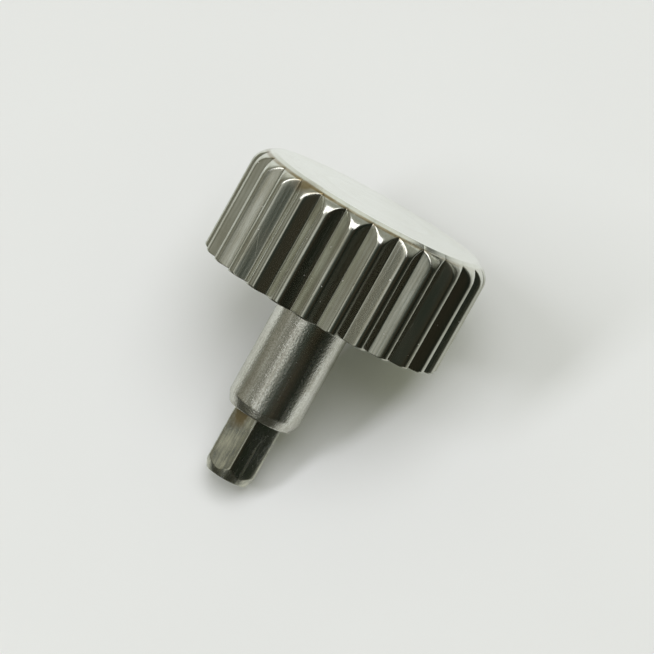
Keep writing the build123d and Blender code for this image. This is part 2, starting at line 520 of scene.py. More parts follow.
def metres(lengths: Iterable[float]) -> tuple[float, ...]:
    """Lengths or a place in metres, from millimetres."""
    return tuple(length * MM for length in lengths)


@dataclass(frozen=True)
class MarkGroups:
    """The shared node groups for the marks that tools and hands leave."""

    turning: bpy.types.NodeTree
    grinding: bpy.types.NodeTree
    handling: bpy.types.NodeTree

    @classmethod
    def build(cls) -> MarkGroups:
        """Builds each group once."""
        return cls(turning_group(), grinding_group(), handling_group())


@dataclass(frozen=True)
class SteelFinish:
    """A bare steel finish.

    Colours are linear. Roughness goes from clean to smudged metal. Turned, ground and grained are
    the depths of the lathe's rings, of the lines along the axis and of the grain, in micrometres.
    Beyond the x of plain_from the metal is cleaner and smoother and shows its rings, and a little
    dirt has dried along that line, most of it within dirt_reach of the stain. The fields after
    plain_from say how strongly each mark tints or roughens the metal, and between which of its
    values it goes from none to full.
    """

    name: str
    clean: Colour
    tarnished: Colour
    roughness: Span
    turned: float
    turned_fineness: float
    ground: float
    ground_along: float
    ground_across: float
    smudge_size: float
    scratched: float
    grained: float
    stain_place: tuple[float, float, float] = (0.0, 0.0, 0.0)
    stain_size: float = 0.01
    plain_from: float = 9.0
    plain_edge: float = 0.06
    plain_use: float = 0.25
    ring_tint: float = 0.24
    ring_span: Span = (0.35, 0.65)
    streak_span: Span = (0.38, 0.66)
    grit_tint: float = 0.08
    grit_span: Span = (0.40, 0.62)
    stain_tint: float = 0.92
    stain_edge: Span = (0.45, 1.0)
    stain_colour: Colour = (0.21, 0.163, 0.075)
    stain_roughness: float = 0.25
    dirt_line: Span = (0.015, 0.045)
    dirt_reach: Span = (2.2, 5.2)
    dirt_beyond: float = 0.15
    scratch_roughness: float = 0.12
    speck_colour: Colour = (0.9, 0.9, 0.86)
    speck_roughness: float = 0.4

    def build(self, marks: MarkGroups) -> bpy.types.Material:
        """Builds the material.

        Args:
            marks: The shared groups.

        Returns:
            The material, with its metal colour, roughness and relief from the marks.
        """
        material, sheet, place = new_material(self.name)
        calc = sheet.math
        rings = sheet.group(marks.turning, Place=place, Fineness=self.turned_fineness)["Height"]
        lines = sheet.group(
            marks.grinding, Place=place, Along=self.ground_along, Across=self.ground_across
        )
        hands = sheet.group(marks.handling, Place=place, Size=self.smudge_size)
        smudge, grain = hands["Smudge"], hands["Grain"]
        along = sheet.along(place)
        edge = metres((self.plain_from, self.plain_from + self.plain_edge))
        used = sheet.remap(along, edge, 1.0, self.plain_use)

        # Tarnish, from 0 to 1, tints and roughens the metal
        streak = sheet.remap(lines["Height"], self.streak_span, 0.0, 1.0)
        tarnish = calc("MULTIPLY", calc("ADD", smudge, streak), 0.5)
        ring = sheet.remap(rings, self.ring_span, 0.0, self.ring_tint)
        ring = calc("MULTIPLY", ring, calc("SUBTRACT", 1.0, used))
        grit = sheet.remap(grain, self.grit_span, 0.0, self.grained * self.grit_tint)
        tarnish = calc("ADD", calc("MULTIPLY", calc("ADD", tarnish, grit), used), ring)
        colour = sheet.blend(tarnish, self.clean, self.tarnished)
        rough = sheet.remap(tarnish, (0.0, 1.0), *self.roughness)

        # The dried stain, and the line of dirt at plain_from
        away = sheet.vector("DISTANCE", place, metres(self.stain_place))
        reach = calc("MULTIPLY", calc("ADD", smudge, 0.6), self.stain_size * MM)
        stain = sheet.remap(calc("DIVIDE", away, reach), self.stain_edge, self.stain_tint, 0.0)
        line = calc("ABSOLUTE", calc("SUBTRACT", along, edge[0]))
        dirt = calc(
            "MULTIPLY",
            sheet.remap(line, metres(self.dirt_line), 1.0, 0.0),
            sheet.remap(smudge, (0.0, 0.5), 0.5, 1.0),
            sheet.remap(away, metres(self.dirt_reach), 1.0, self.dirt_beyond),
        )
        colour = sheet.blend(dirt, colour, self.stain_colour)
        colour = sheet.blend(calc("MULTIPLY", stain, used), colour, self.stain_colour)

        # Scratches and specks, which the plain part hardly has
        bare = calc("POWER", used, 3.0)
        worn = calc("MULTIPLY", lines["Scratch"], self.scratched * self.scratch_roughness, bare)
        speck = calc("MULTIPLY", hands["Speck"], bare)
        rough = calc(
            "ADD",
            rough,
            calc("MULTIPLY", stain, self.stain_roughness),
            worn,
            calc("MULTIPLY", speck, self.speck_roughness),
        )
        colour = sheet.blend(speck, colour, self.speck_colour)
        relief = calc(
            "ADD",
            calc("MULTIPLY", rings, self.turned),
            calc("MULTIPLY", lines["Height"], self.ground),
            calc("MULTIPLY", grain, self.grained),
        )
        cut = calc("MULTIPLY", calc("ADD", hands["Hairline"], hands["Speck"]), self.scratched)
        relief = calc("MULTIPLY", calc("SUBTRACT", relief, cut), used)
        coat(sheet, colour, rough, metallic=1.0, relief=relief, depth=1.0)
        return material


@dataclass(frozen=True)
class RubberFinish:
    """Matt black moulded rubber, slightly greyed where it has been handled.

    The relief is in micrometres, and roughness goes from clean to handled rubber.
    """

    name: str
    colour: Colour
    bloom: Colour
    roughness: Span
    relief: float
    smudge_size: float

    def build(self, marks: MarkGroups) -> bpy.types.Material:
        """Builds the material.

        Args:
            marks: The shared groups.

        Returns:
            The material.
        """
        material, sheet, place = new_material(self.name)
        smudge = sheet.group(marks.handling, Place=place, Size=self.smudge_size)["Smudge"]
        colour = sheet.blend(smudge, self.colour, self.bloom)
        rough = sheet.remap(smudge, (0.0, 1.0), *self.roughness)
        coat(sheet, colour, rough, metallic=0.0, relief=smudge, depth=self.relief)
        return material


POLISHED_STEEL = SteelFinish(
    name="polished_steel",
    clean=(0.65, 0.665, 0.60),
    tarnished=(0.44, 0.43, 0.34),
    roughness=(0.15, 0.26),
    turned=1.0,
    turned_fineness=16000.0,
    ground=2.4,
    ground_along=500.0,
    ground_across=13000.0,
    smudge_size=900.0,
    scratched=1.0,
    grained=0.5,
    stain_place=(2.93, 0.31, 3.2),
    stain_size=0.36,
    plain_from=3.02,
)
SATIN_STEEL = SteelFinish(
    name="satin_steel",
    clean=(0.88, 0.89, 0.84),
    tarnished=(0.55, 0.54, 0.47),
    roughness=(0.18, 0.27),
    turned=3.0,
    turned_fineness=22000.0,
    ground=0.1,
    ground_along=800.0,
    ground_across=20000.0,
    smudge_size=1100.0,
    scratched=0.6,
    grained=6.0,
    plain_from=1.1,
)
MILLED_STEEL = SteelFinish(
    name="milled_steel",
    clean=(0.82, 0.81, 0.67),
    tarnished=(0.27, 0.285, 0.26),
    roughness=(0.16, 0.30),
    turned=0.2,
    turned_fineness=40000.0,
    ground=0.8,
    ground_along=1500.0,
    ground_across=16000.0,
    smudge_size=2300.0,
    scratched=1.0,
    grained=1.5,
    stain_place=(-3.36, 0.05, 0.7),
    stain_size=0.40,
)
SPRING_STEEL = SteelFinish(
    name="spring_steel",
    clean=(0.48, 0.48, 0.49),
    tarnished=(0.36, 0.34, 0.31),
    roughness=(0.28, 0.40),
    turned=0.1,
    turned_fineness=20000.0,
    ground=0.5,
    ground_along=6000.0,
    ground_across=16000.0,
    smudge_size=2500.0,
    scratched=0.4,
    grained=1.0,
)
BLACK_RUBBER = RubberFinish(
    name="black_rubber",
    colour=(0.016, 0.016, 0.017),
    bloom=(0.03, 0.03, 0.03),
    roughness=(0.62, 0.82),
    relief=4.0,
    smudge_size=1400.0,
)


# The crown's pieces


def dress(
    piece: bpy.types.Object, material: bpy.types.Material, body: Body, node: str
) -> None:
    """Gives a piece its finish, and puts it on its body in place of its CAD node.

    Args:
        piece: The piece.
        material: Its material.
        body: The body that it rides on.
        node: The CAD node that it stands for.
    """
    piece.data.materials.append(material)
    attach(piece, body.value)
    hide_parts(node)
    LOG.info("%s: %d faces", piece.name, len(piece.data.polygons))


@dataclass
class CrownHead:
    """The fluted head, with its threaded recess, the gasket's undercut and the pipe's socket.

    The flutes' edges have edge_rounding on the side and arch_rounding on the shoulder, which takes
    over within arch_span of where the shoulder starts.
    """

    radius: float = 3.50
    height: float = 3.13
    rim_chamfer: float = 0.05
    shoulder_drop: float = 0.54
    shoulder_width: float = 0.29
    bevel_height: float = 0.09
    bevel_width: float = 0.14
    bevel_rounding: float = 0.02
    dome: float = 0.03
    flutes: int = 26
    flute_depth: float = 0.27
    flute_share: float = 0.74
    flute_turn: float = 94.4
    flute_rounding: float = 0.05
    edge_rounding: float = 0.055
    arch_rounding: float = 0.06
    arch_span: Span = (-0.2, 0.1)
    rim_rounding: float = 0.015
    thread: InnerThread = InnerThread(
        radius=2.56, lead=0.15, pitch=0.35, depth=0.19, runout=(0.0, 0.15)
    )
    thread_rows: int = 44
    undercut_radius: float = 2.78
    undercut_height: float = 0.62
    recess_depth: float = 1.95
    recess_rounding: float = 0.01
    socket_radius: float = 1.30
    socket_depth: float = 0.60
    socket_chamfer: float = 0.06

    def columns(self) -> tuple[np.ndarray, np.ndarray]:
        """Angles of the columns and the flutes' polar radius at each.

        Formula: a flute's wall is the straight line from its bottom, on the flute's middle, to its
        edge on the head's outer diameter. Its polar radius is slope times bottom over slope times
        cosine less sine of the angle from the flute's middle. That angle is rounded near 0 as a
        hyperbola, so that the bottom has a small radius. Columns are packed at bottom and edge.

        Returns:
            The angles in radians, and the radii.
        """
        half = np.radians(self.flute_share * 180.0 / self.flutes)
        pitch = 2.0 * np.pi / self.flutes
        steps = np.array([0.0, 0.03, 0.08, 0.2, 0.45, 0.7, 0.88, 0.96, 1.0, 1.04, 1.1, 1.2])
        one = np.concatenate([-half * steps[:0:-1], half * steps, [pitch / 2]])
        angles = (np.arange(self.flutes)[:, None] * pitch + one[None, :]).ravel()
        bottom = self.radius - self.flute_depth
        slope = self.radius * np.sin(half) / (self.radius * np.cos(half) - bottom)
        soft = half * self.flute_rounding
        away = np.tile(np.sqrt(one**2 + soft**2) - soft, self.flutes)
        radii = slope * bottom / (slope * np.cos(away) - np.sin(away))
        return angles + np.radians(self.flute_turn), radii

    def shoulder_arc(self) -> tuple[float, float, float]:
        """Start, radius and end angle of the shoulder's arc, which starts along the axis.

        Formula: an arc that leaves the side tangentially and falls by w over a length l has the
        radius (l squared plus w squared) over 2w, and ends where its sine is l over the radius.

        Returns:
            The x of its start, its radius and its end angle in radians.
        """
        start = self.height - self.shoulder_drop
        length = self.shoulder_drop - self.bevel_height
        arc = (length**2 + self.shoulder_width**2) / (2.0 * self.shoulder_width)
        return start, arc, float(np.arcsin(length / arc))

    def outside(self, walls: np.ndarray) -> Section:
        """Rows of the outer face, shoulder, flutes and rim.

        Formula: the radius is the soft minimum of the turned outline and the flutes' polar
        radius. Each column has its rows packed round the place where the two cross, which draws
        the pointed arches on the shoulder.

        Args:
            walls: The flutes' polar radius at each column.

        Returns:
            The rows' x places and radii, rows by columns.
        """
        start, arc, end = self.shoulder_arc()
        shoulder_radius = self.radius - self.shoulder_width
        face_radius = shoulder_radius - self.bevel_width
        across = np.array([0.0, 0.08, 0.2, 0.4, 0.6, 0.8, 0.92, 0.97, 0.99])
        face_r = across * face_radius
        face_x = self.height + self.dome * (1.0 - across**2)
        below, first = end - 0.08, end - 0.02
        bevel_x, bevel_r = profile_rows(
            [
                (face_x[-1], face_r[-1]),
                (self.height, face_radius),
                (self.height - self.bevel_height, shoulder_radius),
                (start + arc * np.sin(below), self.radius - arc + arc * np.cos(below)),
            ],
            self.bevel_rounding,
        )
        bevel_x, bevel_r = bevel_x[1:-1], bevel_r[1:-1]
        cross = np.arccos(np.clip(1.0 - (self.radius - walls) / arc, np.cos(end), 1.0))
        down = np.array([0.08, 0.25, 0.45, 0.65, 0.8, 0.9, 0.95, 0.975, 0.99, 1.0])[:, None]
        arch_x = start + arc * np.sin(first + (cross[None, :] - first) * down)
        down = np.array([0.004, 0.01, 0.02, 0.04, 0.08, 0.16, 0.3, 0.5, 0.75, 0.93, 1.0])[:, None]
        side_x = arch_x[-1] + (self.rim_chamfer - arch_x[-1]) * down
        rim_x = np.array([0.75, 0.5, 0.25, 0.0]) * self.rim_chamfer
        x = stack_rows([face_x, bevel_x, arch_x, side_x, rim_x], len(walls))
        rise = np.clip((x - start) / arc, 0.0, np.sin(end))
        outline = self.radius - arc + arc * np.sqrt(1.0 - rise**2)
        outline = np.where(x < self.rim_chamfer, self.radius - (self.rim_chamfer - x), outline)
        outline[: len(face_x) + len(bevel_x)] = np.concatenate([face_r, bevel_r])[:, None]
        share = smooth_step(x, *(start + reach for reach in self.arch_span))
        rounding = self.edge_rounding + (self.arch_rounding - self.edge_rounding) * share
        return x, soft_minimum(outline, walls[None, :], rounding)

    def inside(self, angles: np.ndarray) -> list[Section]:
        """Rows of the recess: its lead, thread, undercut, floor and the pipe's socket.

        Args:
            angles: Angles of the columns, in radians.

        Returns:
            The rows' x places and radii, in three sections.
        """
        bore, lead = self.thread.radius, self.thread.lead
        floor, socket_floor = self.recess_depth, self.recess_depth + self.socket_depth
        undercut = floor - self.undercut_height
        thread_end = undercut - (self.undercut_radius - bore)
        rim = [(0.0, self.radius), (0.0, bore + lead), (lead, bore)]
        rim_x, rim_r = profile_rows(rim, self.rim_rounding)
        last = thread_end - self.recess_rounding
        thread_x = np.linspace(0.0, last, self.thread_rows)[2:]
        floor_x, floor_r = profile_rows(
            [
                (last, bore),
                (thread_end, bore),
                (undercut, self.undercut_radius),
                (floor, self.undercut_radius),
                (floor, self.socket_radius + self.socket_chamfer),
                (floor + self.socket_chamfer, self.socket_radius),
                (socket_floor, self.socket_radius),
                (socket_floor, 0.0),
            ],
            self.recess_rounding,
        )
        thread_r = self.thread.radii(thread_x, angles, mouth=0.0, end=thread_end)
        return [(rim_x[1:5], rim_r[1:5]), (thread_x, thread_r), (floor_x[1:], floor_r[1:])]

    def build(self, material: bpy.types.Material) -> None:
        """Builds the head and dresses it.

        Args:
            material: Its finish.
        """
        angles, walls = self.columns()
        sections = [self.outside(walls), *self.inside(angles)]
        head = turned_mesh("fluted_head", sections, angles, closed=False)
        dress(head, material, Body.CROWN, "crown_head")


@dataclass
class CrownPipe:
    """The smooth pipe, with its collar in the head, its bore and its broached hexagonal mouth.

    Its end faces are drawn by rows at mouth_wall inside the taper and collar_wall round the bore.
    """

    radius: float = 1.05
    mouth_x: float = -3.31
    mouth_wall: float = 0.06
    collar_wall: float = 0.05
    bore_radius: float = 0.87
    bore_chamfer: float = 0.02
    collar_radius: float = 1.30
    collar_start: float = 1.25
    collar_end: float = 2.55
    rounding: float = 0.045
    guide_end: float = -2.51
    guide_flat_radius: float = 0.7101
    guide_rounding: float = 0.01
    taper_length: float = 0.28
    taper_depth: float = 0.14
    columns: int = 288

    def build(self, material: bpy.types.Material) -> None:
        """Builds the pipe and dresses it.

        Formula: the rows are the turned outline, and in the guide the rounded hexagon's polar
        radius, which widens by a few hundredths at the mouth.

        Args:
            material: Its finish.
        """
        angles = even_angles(self.columns)
        mouth_radius = self.radius - self.taper_depth
        outline = profile_rows(
            [
                (self.collar_end, self.bore_radius + self.collar_wall),
                (self.collar_end, self.collar_radius),
                (self.collar_start, self.collar_radius),
                (self.collar_start, self.radius),
                (self.mouth_x + self.taper_length, self.radius),
                (self.mouth_x, mouth_radius),
                (self.mouth_x, mouth_radius - self.mouth_wall),
            ],
            self.rounding,
        )
        hexagon = hexagon_radius(angles, self.guide_flat_radius, self.guide_rounding)
        mouth_x = self.mouth_x + np.array([0.0, 0.004, 0.014, 0.035])
        guide_x = np.concatenate([mouth_x, np.linspace(mouth_x[-1], self.guide_end, 6)[1:]])
        widening = np.concatenate([[0.03, 0.012, 0.003], np.zeros(6)])
        chamfer_x = self.collar_end - self.bore_chamfer
        bore_x = np.array([self.guide_end, self.guide_end, chamfer_x, self.collar_end])
        bore_r = self.bore_radius + np.array([-0.01, 0.0, 0.0, self.bore_chamfer])
        sections = [outline, (guide_x, hexagon[None, :] + widening[:, None]), (bore_x, bore_r)]
        pipe = turned_mesh("smooth_pipe", sections, angles, closed=True)
        dress(pipe, material, Body.CROWN, "crown_pipe")


@dataclass
class DrivePost:
    """The hexagonal drive post, with its turned tip, tapped hole, stop flange and spigot.

    Flange_inner is where the flange's face ends beside the hexagon, as a multiple of flat_radius.
    """

    tip_x: float = -5.156
    tip_radius: float = 0.59
    tip_edge: float = 0.012
    tip_step: float = 0.01
    taper_length: float = 0.43
    taper_rounding: float = 0.012
    flat_radius: float = 0.7001
    corner_rounding: float = 0.07
    flange_x: float = -2.50
    flange_radius: float = 0.86
    flange_thickness: float = 0.35
    flange_inner: float = 1.18
    spigot_radius: float = 0.50
    spigot_length: float = 0.40
    spigot_chamfer: float = 0.08
    turned_rounding: float = 0.015
    thread: InnerThread = InnerThread(
        radius=0.36, lead=0.09, pitch=0.225, depth=0.09, runout=(0.15, 0.5)
    )
    thread_rows: int = 90
    thread_start: float = 0.01
    thread_stop: float = 0.1
    hole_depth: float = 2.50
    hole_rounding: float = 0.008
    drill_point: float = 0.216
    columns: int = 288

    def spigot(self) -> Section:
        """Rows of the spigot and the stop flange, from the axis to beside the hexagon."""
        seat_x = self.flange_x + self.flange_thickness
        top_x = seat_x + self.spigot_length
        return profile_rows(
            [
                (top_x, 0.0),
                (top_x, self.spigot_radius - self.spigot_chamfer),
                (top_x - self.spigot_chamfer, self.spigot_radius),
                (seat_x, self.spigot_radius),
                (seat_x, self.flange_radius),
                (self.flange_x, self.flange_radius),
                (self.flange_x, self.flat_radius * self.flange_inner),
            ],
            self.turned_rounding,
        )

    def shank(self, angles: np.ndarray) -> Section:
        """Rows of the hexagon and the turned tip.

        Formula: the radius is the soft minimum of the hexagon's polar radius and the tip's cone.
        Each column has rows packed where the two cross, which gives the flats their round ends.

        Args:
            angles: Angles of the columns, in radians.

        Returns:
            The rows' x places and radii, rows by columns.
        """
        hexagon = hexagon_radius(angles, self.flat_radius, self.corner_rounding)[None, :]
        slope = (self.flat_radius / COSINE_30 - self.tip_radius) / self.taper_length
        cross = self.tip_x + (hexagon - self.tip_radius) / slope
        down = np.array([0.0, 0.3, 0.6, 0.85, 0.95, 0.98, 0.995, 1.0])[:, None]
        shank_x = self.flange_x + (cross - self.flange_x) * down
        down = np.array([0.02, 0.06, 0.15, 0.4, 0.7, 0.93, 1.0])[:, None]
        cone_x = cross + (self.tip_x + self.tip_edge - cross) * down
        x = np.concatenate([shank_x, cone_x])
        cone = self.tip_radius + slope * (x - self.tip_x)
        return x, soft_minimum(hexagon * np.ones_like(x), cone, self.taper_rounding)

    def hole(self, angles: np.ndarray) -> list[Section]:
        """Rows of the post's end face and of its tapped hole.

        Args:
            angles: Angles of the columns, in radians.

        Returns:
            The rows' x places and radii, in three sections.
        """
        bore, lead = self.thread.radius, self.thread.lead
        end_x, end_r = profile_rows(
            [
                (self.tip_x + self.tip_edge, self.tip_radius),
                (self.tip_x, self.tip_radius - self.tip_step),
                (self.tip_x, bore + lead),
                (self.tip_x + lead, bore),
            ],
            self.hole_rounding,
        )
        floor_x = self.tip_x + self.hole_depth
        thread_x = np.linspace(
            self.tip_x + self.thread_start, floor_x - self.thread_stop, self.thread_rows
        )
        thread_r = self.thread.radii(thread_x, angles, mouth=self.tip_x, end=floor_x)
        point = (np.array([floor_x, floor_x + self.drill_point]), np.array([bore, 0.0]))
        return [(end_x[1:-1], end_r[1:-1]), (thread_x, thread_r), point]

    def build(self, material: bpy.types.Material) -> None:
        """Builds the post and dresses it.

        Args:
            material: Its finish.
        """
        angles = even_angles(self.columns)
        sections = [self.spigot(), self.shank(angles), *self.hole(angles)]
        post = turned_mesh("hexagonal_post", sections, angles, closed=False)
        dress(post, material, Body.POST, "drive_post")


@dataclass
class ReturnSpring:
    """The open coil spring between the post's flange and the floor of the head's socket."""

    start_x: float = -2.03
    end_x: float = 2.43
    radius: float = 0.70
    wire_radius: float = 0.11
    turns: int = 7
    steps_per_turn: int = 48
    wire_columns: int = 24
    anchor_x: float = 2.55
    stroke: float = 1.20

    def build(self, material: bpy.types.Material) -> None:
        """Builds the spring and dresses it.

        Formula: the wire's centre is a helix. Round it, at each place, lies a circle in the plane
        of the outward direction and of the cross product of that with the wire's direction. Three
        smaller circles and a pole round off each end.

        Args:
            material: Its finish.
        """
        turn = np.linspace(0.0, self.turns, self.steps_per_turn * self.turns + 1)
        angle = 2.0 * np.pi * turn
        rise = (self.end_x - self.start_x) / self.turns
        cosine, sine = np.cos(angle), np.sin(angle)
        centre = np.stack(
            [self.start_x + rise * turn, self.radius * cosine, self.radius * sine], axis=-1
        )
        run = 2.0 * np.pi * self.radius
        way = np.stack([np.full_like(turn, rise), -run * sine, run * cosine], axis=-1)
        way /= np.linalg.norm(way, axis=1, keepdims=True)
        cap = np.array([0.0, 0.55, 0.85, 0.97])
        lead = np.array([0.0, 0.004, 0.014, 0.03])[:, None]
        first, last = centre[:1] + way[:1] * lead, centre[-1:] - way[-1:] * lead[::-1]
        centre = np.concatenate([first, centre[1:-1], last])
        ends = [np.repeat(end, len(cap), axis=0) for end in (way[:1], way[-1:])]
        way = np.concatenate([ends[0], way[1:-1], ends[1]])
        size = np.concatenate([cap, np.ones(len(turn) - 2), cap[::-1]]) * self.wire_radius
        out = centre * np.array([0.0, 1.0, 1.0])
        out -= way * np.sum(out * way, axis=1, keepdims=True)
        out /= np.linalg.norm(out, axis=1, keepdims=True)
        side = np.cross(way, out)
        around = even_angles(self.wire_columns)[None, :, None]
        ring = out[:, None] * np.cos(around) - side[:, None] * np.sin(around)
        points = centre[:, None] + ring * size[:, None, None]
        spring = surface_mesh("coil_spring", points, closed=False)
        dress(spring, material, Body.CROWN, "return_spring")
        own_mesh(spring)


@dataclass(frozen=True)
class FlatRing:
    """A flat ring round the axis, chamfered on the side towards the head's rim."""

    inner: float
    outer: float
    start: float
    thickness: float
    rounding: float
    chamfer: float
    inner_chamfer: float = 0.0
    columns: int = 192

    def mesh(self, name: str) -> bpy.types.Object:
        """Turns the ring from its section, whose corners go outwards round it.

        Args:
            name: Name of the object.

        Returns:
            The ring.
        """
        top, cut = self.start + self.thickness, self.inner_chamfer
        corners = [
            (top, self.inner),
            (top, self.outer),
            (self.start + self.chamfer, self.outer),
            (self.start, self.outer - self.chamfer),
            (self.start, self.inner + cut),
        ]
        if cut:
            corners.append((self.start + cut, self.inner))
        x, r = profile_rows([corners[-1], *corners, corners[0]], self.rounding)
        return turned_mesh(name, [(x[1:-1], r[1:-1])], even_angles(self.columns), closed=True)


@dataclass
class Sealing:
    """The rubber gasket at the recess's floor, and the steel washer that holds its inner edge."""

    gasket: FlatRing = FlatRing(
        inner=1.32,
        outer=2.74,
        start=1.45,
        thickness=0.50,
        rounding=0.02,
        chamfer=0.05,
        inner_chamfer=0.05,
    )
    washer: FlatRing = FlatRing(
        inner=1.30, outer=1.75, start=1.25, thickness=0.20, rounding=0.01, chamfer=0.04
    )

    def build(self, rubber: bpy.types.Material, steel: bpy.types.Material) -> None:
        """Builds both rings and dresses them.

        Args:
            rubber: The gasket's finish.
            steel: The washer's finish.
        """
        gasket, washer = self.gasket.mesh("rubber_gasket"), self.washer.mesh("steel_washer")
        dress(gasket, rubber, Body.CROWN, "head_gasket")
        dress(washer, steel, Body.CROWN, "gasket_washer")


# The photographer's table, light and camera


def direction(lean: float, turn: float) -> Vector:
    """Unit vector at an angle turn round the axis, from +Z towards +Y, that leans towards +X."""
    lean, turn = math.radians(lean), math.radians(turn)
    across = math.cos(lean)
    return Vector((math.sin(lean), across * math.sin(turn), across * math.cos(turn)))


def aim(made: bpy.types.Object, right: Vector, up: Vector, back: Vector, place: Vector) -> None:
    """Puts a camera or lamp at a place, with its own axes turned.

    Args:
        made: The camera or lamp.
        right: Direction of its own X.
        up: Direction of its own Y.
        back: Direction of its own Z, away from what it looks at.
        place: Where it stands, in millimetres.
    """
    turned = Matrix((right, up, back)).transposed().to_4x4()
    made.matrix_world = Matrix.Translation(place * MM) @ turned


@dataclass(frozen=True)
class Viewpoint:
    """The photograph's viewing direction, worked out from the crown's own ellipses.

    The camera looks down on the crown from the angle turn round the axis, from +Z towards +Y, and
    is tipped towards the outer face by lean. The axis runs up and to the right, tilt from upright.
    """

    lean: float = 7.77
    turn: float = -29.7
    tilt: float = 29.35
    distance: float = 120.0
    pixels_per_mm: float = 37.8
    photo_width: float = 654.0
    sensor_width: float = 36.0
    right_shift: float = 7.0
    down_shift: float = 18.4
    clip: Span = (10.0, 5000.0)

    def axes(self) -> tuple[Vector, Vector, Vector]:
        """Directions to the right, up and towards the camera."""
        towards, tilt = direction(self.lean, self.turn), math.radians(self.tilt)
        across = (AXIS - towards.x * towards).normalized()
        up = math.cos(tilt) * across + math.sin(tilt) * towards.cross(across)
        return up.cross(towards), up, towards

    def ring_axes(self) -> tuple[Vector, Vector]:
        """The viewing direction square to the crown's axis, and the direction to its right."""
        flat = direction(0.0, self.turn)
        return flat, AXIS.cross(flat)

    def camera(self) -> bpy.types.Object:
        """Makes the camera, with the lens that gives the photograph's scale."""
        right, up, towards = self.axes()
        data = bpy.data.cameras.new("photo_camera")
        data.sensor_width = self.sensor_width
        data.lens = self.sensor_width * self.distance * self.pixels_per_mm / self.photo_width
        data.clip_start, data.clip_end = metres(self.clip)
        made = new_object("photo_camera", data)
        target = (self.right_shift * right - self.down_shift * up) / self.pixels_per_mm
        aim(made, right, up, towards, target + self.distance * towards)
        bpy.context.scene.camera = made
        return made


@dataclass(frozen=True)
class Table:
    """The plain pale table that the crown lies on, touching its rim and the post's tip.

    Beside, ahead and far are painted reflections: the colours that the metal mirrors in place of
    the table's own. Beside is painted shade below the crown, ahead a painted highlight in front of
    the outer face, and far painted shade towards the dim side and the post's end, where it gets
    dark. The spans say where each change starts and ends, measured from the head's rim.
    """

    lean: float = 29.44
    turn: float = -16.0
    drop: float = 3.048
    size: float = 900.0
    colour: Colour = (0.80, 0.81, 0.79)
    unevenness: float = 0.03
    grain: float = 160.0
    # Painted reflections: painted shade beside, a painted highlight ahead, dark painted shade far
    # off
    beside: Colour = (0.66, 0.67, 0.64)
    ahead: Colour = (0.93, 0.95, 0.94)
    far: Colour = (0.05, 0.05, 0.04)
    dim_span: Span = (7.0, 19.0)
    end_span: Span = (5.3, 7.2)
    ahead_span: Span = (2.5, 3.5)

    def material(self, dim_side: Vector) -> bpy.types.Material:
        """A plain pale surface with faint unevenness, not there when seen from below. For glossy
        rays its colour is a painted reflection, with painted shade and a painted highlight by
        place.

        Args:
            dim_side: The side towards which the metal's mirror image of the table gets dark.

        Returns:
            The material.
        """
        material, sheet, place = new_material("pale_table")
        low = tuple((1.0 - self.unevenness) * value for value in self.colour)
        colour = sheet.blend(sheet.noise(place, self.grain, 2.0), low, self.colour)
        # Painted shade in the metal's reflection: the share of the dark far colour grows towards
        # the dim side and the post's end
        painted_shade_share = sheet.math(
            "MAXIMUM",
            *(
                sheet.remap(sheet.vector("DOT_PRODUCT", place, way), metres(span), 0.0, 1.0)
                for way, span in ((dim_side, self.dim_span), (-AXIS, self.end_span))
            ),
        )
        # Painted highlight in the metal's reflection: lighter in front of the outer face
        ahead = sheet.remap(sheet.along(place), metres(self.ahead_span), 0.0, 1.0)
        mirrored = sheet.blend(painted_shade_share, sheet.blend(ahead, self.beside, self.ahead), self.far)
        # Glossy rays see this painted reflection instead of the plain table
        gloss = sheet.node("ShaderNodeLightPath").outputs["Is Glossy Ray"]
        colour = sheet.blend(gloss, colour, mirrored)
        plain = sheet.node("ShaderNodeBsdfDiffuse", {"Color": colour}).outputs[0]
        clear = sheet.node("ShaderNodeBsdfTransparent").outputs[0]
        behind = sheet.node("ShaderNodeNewGeometry").outputs["Backfacing"]
        both = sheet.node("ShaderNodeMixShader", {0: behind, 1: plain, 2: clear})
        sheet.node("ShaderNodeOutputMaterial", {"Surface": both.outputs[0]})
        return material

    def build(self, dim_side: Vector) -> bpy.types.Object:
        """Builds the table as a square whose place is in its mesh.

        Args:
            dim_side: The side towards which the metal's mirror image of the table gets dark.

        Returns:
            The table.
        """
        up = direction(self.lean, self.turn)
        side = Vector((0, 1, 0)).cross(up).normalized()
        along = up.cross(side)
        ends = ((-1, -1), (1, -1), (1, 1), (-1, 1))
        corners = [(a * side + b * along) * self.size / 2 - self.drop * up for a, b in ends]
        mesh = bpy.data.meshes.new("pale_table")
        mesh.from_pydata([tuple(corner * MM) for corner in corners], [], [(0, 1, 2, 3)])
        mesh.update()
        mesh.materials.append(self.material(dim_side))
        made = new_object("pale_table", mesh)
        return made


@dataclass(frozen=True)
class SoftLamp:
    """A soft lamp's place and size.

    Its turn is measured round the crown's axis from the viewing direction, and is negative towards
    the left. Its lean is towards the outer face. Size is its width and length, and power is in
    watts. A mirrored lamp is one that the metal shows, and the others light the table.
    """

    name: str
    turn: float
    lean: float
    size: Span
    power: float
    mirrored: bool
    colour: Colour
    distance: float = 350.0

    def build(self, view: Viewpoint) -> bpy.types.Object:
        """Makes the lamp, aimed at the crown.

        Args:
            view: The viewing direction that its place goes by.

        Returns:
            The lamp.
        """
        way = direction(self.lean, view.turn - self.turn)
        data = bpy.data.lights.new(self.name, "AREA")
        data.shape = "RECTANGLE"
        data.size, data.size_y = metres(self.size)
        data.energy = self.power
        data.color = self.colour
        made = new_object(self.name, data)
        made.visible_glossy = self.mirrored
        made.visible_diffuse = not self.mirrored
        along = (AXIS - way.x * way).normalized()
        aim(made, along.cross(way), along, way, way * self.distance)
        return made


LAMP_COLOUR = (0.93, 0.92, 0.98)
FILL_COLOUR = (0.92, 0.91, 1.0)


